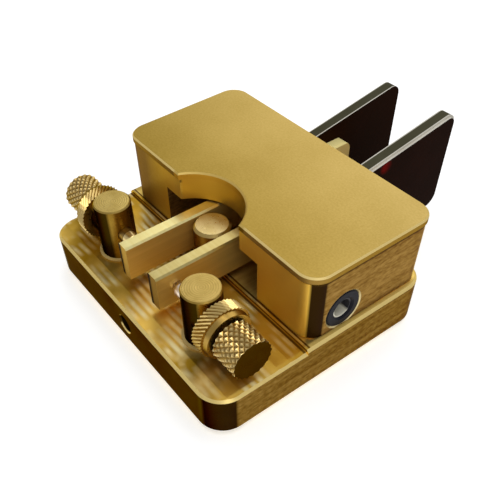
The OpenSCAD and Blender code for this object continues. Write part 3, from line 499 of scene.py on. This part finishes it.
# Pivot block: a brass bridge over the levers, screwed to the base plate from below. Its front
# is smooth and painted darker to the left, its sides are brushed along the key and painted
# darker than the front, its round front corners are painted dark and a dark line is painted
# under the cover, all as painted shade, and a pale rim shows round the jack.
BLOCK_TOP = 23.6 * MM
RIM_EDGE = 4.05 * MM


def in_notch(wire, x):
    """1 across the width of the round notch and 0 beside it."""
    return slope(wire, x.math("ABSOLUTE"), 11.0 * MM, 10.4 * MM)


def notch_wall(wire, x):
    """The round notch's tone: golden on its left side and painted darker on its right, as painted shade."""
    left = mix(wire, slope(wire, x, -8 * MM, 0 * MM), colour(0.74, 0.42, 0.05), colour(0.66, 0.36, 0.038))
    return mix(wire, slope(wire, x, 0 * MM, 9 * MM), left, colour(0.20, 0.115, 0.008))


material, wire, place = piece_material("block_brass")
x, y, z = apart(wire, place)
across = facing(wire)[0]
turned = across.math("ABSOLUTE")
streaks = cloud(wire, place, 1500.0, (1, 0.03, 1), 4.0)
patches = cloud(wire, place, 130.0)
front = mix(wire, patches, colour(0.80, 0.47, 0.05), colour(0.98, 0.64, 0.12))
# Painted shade: the front is painted darker towards the left.
front = mix(wire, slope(wire, x, -12 * MM, -22 * MM), front, colour(0.28, 0.165, 0.03))
# The sides are brushed, and are painted darker than the front as painted shade.
sides = mix(wire, speckled(wire, place, streaks), colour(0.20, 0.105, 0.022), colour(0.42, 0.255, 0.08))
tone = mix(wire, slope(wire, turned, 0.85, 0.98), front, sides)
outer_end = slope(wire, x.math("ABSOLUTE"), BLOCK_SIDE - 3.9 * MM, BLOCK_SIDE - 3.5 * MM)
# Painted shade: the round front corners are painted nearly black.
corner = front_corner(wire, across, y, 0.55, 0.66) * outer_end
tone = mix(wire, corner, tone, colour(0.03, 0.014, 0.002))
notch = in_notch(wire, x) * slope(wire, y, BLOCK_FRONT + 0.2 * MM, BLOCK_FRONT + 0.5 * MM)
tone = mix(wire, notch, tone, notch_wall(wire, x))
# Painted shadow: a dark line is painted on the block's sides just under the cover.
under_cover = slope(wire, z, BLOCK_TOP - 0.7 * MM, BLOCK_TOP - 0.55 * MM)
seam_shadow = under_cover * slope(wire, turned, 0.6, 0.9) * (1 - notch)
tone = mix(wire, seam_shadow * 0.7, tone, colour(0.06, 0.03, 0.005))
jack = middle("jack_nut")
jack.x = BLOCK_SIDE
rim = slope(wire, distance(wire, place, jack), RIM_EDGE + 0.1 * MM, RIM_EDGE)
tone = mix(wire, rim, tone, colour(0.80, 0.66, 0.34))
brass(wire, tone, streaks * 0.2 + 0.3, streaks, 0.015, 0.8)
dress(["pivot_block"], material)


# Cover plate: a thin brass plate on the block, with the same round notch.
# It is blasted to a satin top, painted darker towards the front as painted shade, and its
# chamfer is painted bright as a painted highlight.
material, wire, place = piece_material("cover_brass")
x, y, _ = apart(wire, place)
up = facing(wire)[2]
grit = cloud(wire, place, 2600.0, detail=2.0)
patches = cloud(wire, place, 60.0)
mottle = slope(wire, patches * 0.5 + grit * 0.5, 0.35, 0.65)
# Painted shade: the top is painted darker towards the front.
front = mix(wire, mottle, colour(0.40, 0.27, 0.058), colour(0.51, 0.355, 0.09))
rear = mix(wire, mottle, colour(0.54, 0.39, 0.125), colour(0.66, 0.49, 0.18))
top = mix(wire, slope(wire, y, -16 * MM, 11 * MM), front, rear)
flat = slope(wire, up, 0.85, 0.97)
notch = in_notch(wire, x)
walls = mix(wire, notch, colour(0.36, 0.22, 0.05), notch_wall(wire, x))
tone = mix(wire, flat, walls, top)
# Painted highlight: the chamfer is painted bright, less so in the notch.
chamfer = slope(wire, up, 0.2, 0.5) * (1 - flat)
edge = mix(wire, notch, colour(0.95, 0.74, 0.30), colour(0.75, 0.54, 0.16))
tone = mix(wire, chamfer, tone, edge)
brass(wire, tone, grit * 0.1 + 0.47, grit, 0.012)
dress(["cover_plate"], material)


# Contact screws and lock rings: brass, turned and then knurled. The screws go through the
# posts with their knobs outside, and the rings lock them. The knurls are painted bright on
# their crests and dark in their hollows, and the knobs' end faces are painted dark, as painted
# highlight and shade.
def half_width(name):
    """Half of a piece's size along Y."""
    low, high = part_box(name)
    return (high.y - low.y) / 2


for side in ("left", "right"):
    axis = middle("contact_tip_" + side)
    screw, ring = "contact_screw_" + side, "lock_ring_" + side
    # Painted highlight and shade: bright at the knurl's reach, dark below it, with dark end faces.
    dress([screw], turned_brass(
        "knob_brass_" + side, axis, "X",
        (colour(0.28, 0.155, 0.025), colour(1.0, 0.79, 0.37)),
        (colour(0.050, 0.028, 0.004), colour(0.080, 0.050, 0.009)), reach=half_width(screw)))
    dress([ring], turned_brass(
        "ring_brass_" + side, axis, "X",
        (colour(0.36, 0.21, 0.035), colour(0.90, 0.68, 0.28)),
        (colour(0.42, 0.25, 0.04), colour(0.62, 0.40, 0.09)), reach=half_width(ring)))


# Jack and wires: a blackened nut round a bright lining that is painted dark on its upper inside as painted
# shade, a moulded barrel and covered wires.
# The barrel sits in the block's right side, and the wires run in the base plate's channels.
material, wire, place = piece_material("jack_lining")
_, y, z = apart(wire, place)
haze = cloud(wire, place, 900.0)
# Painted shade: the lining's upper inside is painted dark.
above = (y - jack.y) * 0.5 + (z - jack.z) * 0.85
lining_shade = slope(wire, above, -0.6 * MM, -0.1 * MM)
bright = mix(wire, haze, colour(0.90, 0.84, 0.64), colour(1.0, 0.97, 0.82))
surface(wire, {
    "Base Color": mix(wire, lining_shade, bright, colour(0.03, 0.028, 0.035)),
    "Metallic": 0.1, "Roughness": haze * 0.2 + 0.4,
    "Normal": relief(wire, cloud(wire, place, 2500.0), 0.004),
})
dress(["jack_sleeve"], material)


def black(name, tone, rough, shine):
    """A black material with a faint haze of a paler tone."""
    material, wire, place = piece_material(name)
    haze = cloud(wire, place, 900.0)
    hazy = [1.6 * part for part in tone]
    surface(wire, {
        "Base Color": mix(wire, haze, colour(*tone), colour(*hazy)),
        "Roughness": haze * 0.2 + rough, "Specular IOR Level": shine,
        "Normal": relief(wire, cloud(wire, place, 3000.0), 0.004),
    })
    return material


dress(["jack_nut"], black("nut_black", (0.010, 0.010, 0.014), 0.3, 0.06))
dress(["jack_body", "signal_wires"], black("moulded_black", (0.015, 0.015, 0.016), 0.5, 0.3))
